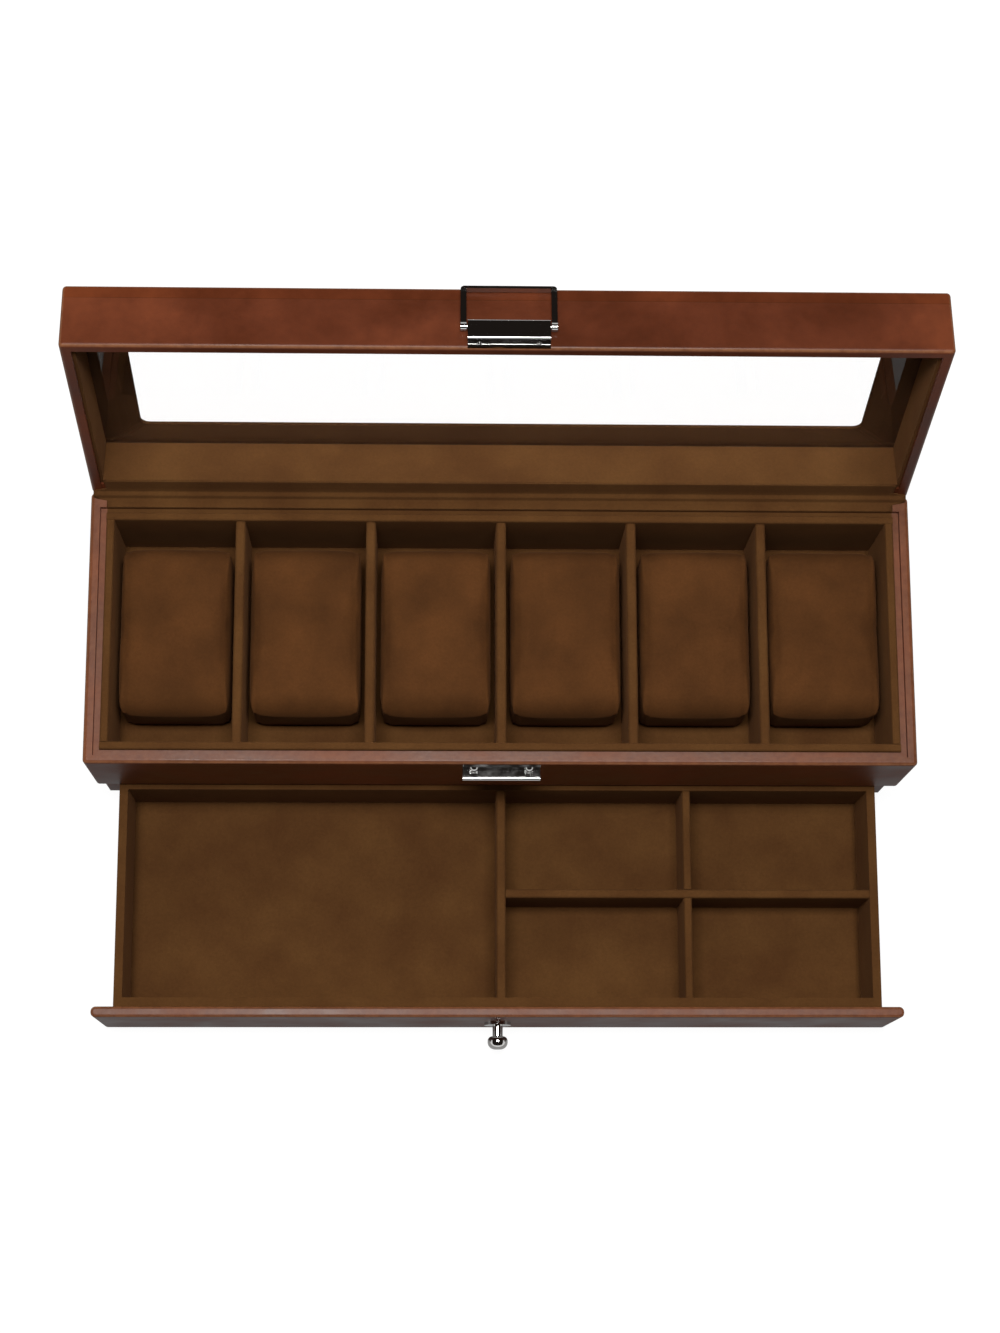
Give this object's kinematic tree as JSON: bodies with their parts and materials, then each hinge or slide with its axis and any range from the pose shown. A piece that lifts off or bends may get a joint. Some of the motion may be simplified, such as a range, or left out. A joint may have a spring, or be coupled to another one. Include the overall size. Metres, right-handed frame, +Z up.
{
  "type": "watch box with drawer",
  "caption": "Leatherette watch box: glazed hinged lid with a clasp, tray of lift-out cushions between dividers, and a divided drawer with a round knob.",
  "frame": {"origin": "centre of the case's flat underside", "axes": "+Z up, +X to the right along the box, the drawer opens towards -Y and the lid is hinged at +Y"},
  "size_m": [0.335, 0.2696, 0.2071],
  "materials": {
    "leatherette": "satin",
    "board": "matte",
    "suede": "matte",
    "cushion_suede": "matte",
    "chrome": "polished",
    "steel": "satin",
    "glass": "polished"
  },
  "bodies": {
    "case": {"base_panel": "board", "left_side_panel": "leatherette", "right_side_panel": "leatherette", "back_panel": "leatherette", "back_rail": "board", "front_rail": "leatherette", "shelf_panel": "board", "left_drawer_guide": "board", "right_drawer_guide": "board", "tray_floor_lining": "suede", "front_liner": "suede", "back_liner": "suede", "left_liner": "suede", "right_liner": "suede", "divider_1": "suede", "divider_2": "suede", "divider_3": "suede", "divider_4": "suede", "divider_5": "suede", "case_hinge_cloth": "suede", "hinge_case_leaves": "steel", "hinge_pins": "steel", "hinge_case_screws": "steel", "catch_plate": "chrome", "catch_screws": "chrome"},
    "lid": {"lid_left_wall": "leatherette", "lid_right_wall": "leatherette", "lid_front_wall": "leatherette", "lid_back_wall": "leatherette", "lid_top_frame": "leatherette", "glass_pane": "glass", "lid_left_lining": "suede", "lid_right_lining": "suede", "lid_front_lining": "suede", "lid_back_lining": "suede", "lid_hinge_cloth": "suede", "hinge_lid_leaves": "steel", "hinge_lid_screws": "steel", "clasp_plate": "chrome", "clasp_pin": "chrome", "clasp_screws": "chrome"},
    "clasp_loop": {"clasp_loop": "chrome"},
    "drawer": {"drawer_front": "leatherette", "drawer_front_wall": "suede", "drawer_left_side": "suede", "drawer_right_side": "suede", "drawer_back_wall": "suede", "drawer_bottom": "suede", "drawer_floor_lining": "suede", "drawer_middle_divider": "suede", "drawer_right_divider": "suede", "drawer_cross_divider": "suede", "drawer_knob": "chrome", "knob_screw": "steel"},
    "cushion_1": {"cushion_1": "cushion_suede"},
    "cushion_2": {"cushion_2": "cushion_suede"},
    "cushion_3": {"cushion_3": "cushion_suede"},
    "cushion_4": {"cushion_4": "cushion_suede"},
    "cushion_5": {"cushion_5": "cushion_suede"},
    "cushion_6": {"cushion_6": "cushion_suede"}
  },
  "joints": [
    {"name": "lid_hinge", "type": "hinge", "parent": "case", "child": "lid", "pos_m": [0, 0.056, 0.09515], "axis": [-1, 0, 0], "range_deg": [-102.3, 0]},
    {"name": "clasp_swing", "type": "hinge", "parent": "lid", "child": "clasp_loop", "pos_m": [0, 0.08872, 0.20459], "axis": [-1, 0, 0], "range_deg": [-180, 0]},
    {"name": "drawer_slide", "type": "slide", "parent": "case", "child": "drawer", "axis": [0, -1, 0], "range_m": [-0.098, 0]},
    {"name": "cushion_1_lift", "type": "slide", "parent": "case", "child": "cushion_1", "axis": [0, 0, 1], "range_m": [0, 0.06]},
    {"name": "cushion_2_lift", "type": "slide", "parent": "case", "child": "cushion_2", "axis": [0, 0, 1], "range_m": [0, 0.06]},
    {"name": "cushion_3_lift", "type": "slide", "parent": "case", "child": "cushion_3", "axis": [0, 0, 1], "range_m": [0, 0.06]},
    {"name": "cushion_4_lift", "type": "slide", "parent": "case", "child": "cushion_4", "axis": [0, 0, 1], "range_m": [0, 0.06]},
    {"name": "cushion_5_lift", "type": "slide", "parent": "case", "child": "cushion_5", "axis": [0, 0, 1], "range_m": [0, 0.06]},
    {"name": "cushion_6_lift", "type": "slide", "parent": "case", "child": "cushion_6", "axis": [0, 0, 1], "range_m": [0, 0.06]}
  ]
}
